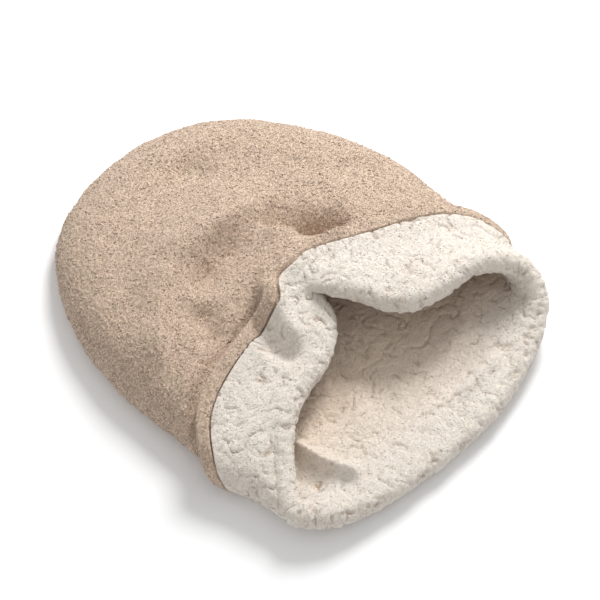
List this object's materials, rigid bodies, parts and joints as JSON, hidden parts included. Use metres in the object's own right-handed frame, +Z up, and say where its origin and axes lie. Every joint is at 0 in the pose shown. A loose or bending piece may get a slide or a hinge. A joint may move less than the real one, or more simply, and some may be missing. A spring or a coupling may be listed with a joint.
{
  "type": "burrow dog blanket",
  "caption": "Soft round-ended burrow sack for a dog in tan curly fleece, lying with its mouth folded back as a wide cream plush cuff.",
  "frame": {"origin": "on the surface that the sack lies on, below the middle of its plan", "axes": "+Z up; +Y from the mouth towards the closed, rounded end, the longest way; +X to the right as seen from the mouth"},
  "size_m": [0.4577, 0.5742, 0.1023],
  "materials": {
    "shell_top": "tan curly fleece, matt, upper panel and hem",
    "shell_base": "tan curly fleece, matt, lower panel and hem",
    "lining_top": "cream embossed plush, matt, upper panel and cuff",
    "lining_base": "cream embossed plush, matt, lower panel and cuff"
  },
  "bodies": {
    "root": {"shell_top": "shell_top", "shell_base": "shell_base", "lining_top": "lining_top", "lining_base": "lining_base"}
  },
  "joints": []
}
